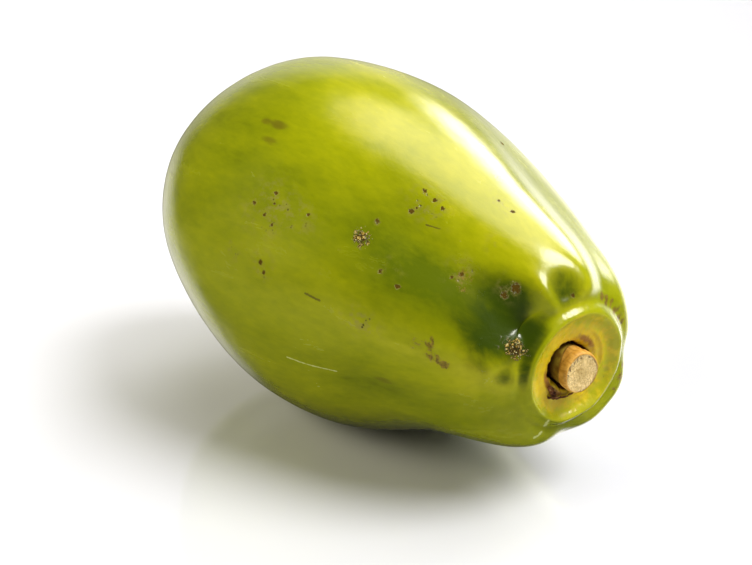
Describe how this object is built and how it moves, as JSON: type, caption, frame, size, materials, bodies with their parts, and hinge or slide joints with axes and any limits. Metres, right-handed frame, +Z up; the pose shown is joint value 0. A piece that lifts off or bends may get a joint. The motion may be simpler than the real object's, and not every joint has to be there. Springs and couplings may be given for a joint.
{
  "type": "papaya",
  "caption": "Whole green papaya lying on its side, with a pear-shaped lobed body and a cut stem stub set in a dished ring.",
  "frame": {"origin": "on the flat spot that the fruit rests on, straight below the centre of its belly", "axes": "+X along the fruit towards the stem end, +Z up, +Y completes the right-handed set; the fruit's own axis drops 5.8 degrees towards the stem end"},
  "size_m": [0.2289, 0.1387, 0.1407],
  "materials": {
    "skin": "waxy, glossy olive-green fruit skin, blotchy, with small brown scars and specks",
    "stem": "dry, matt; fibrous cream cut face with an orange-tan bark rim",
    "calyx": "dry, matt dark brown"
  },
  "bodies": {
    "root": {"fruit_body": "skin", "stem_stub": "stem", "calyx_scrap": "calyx"}
  },
  "joints": []
}
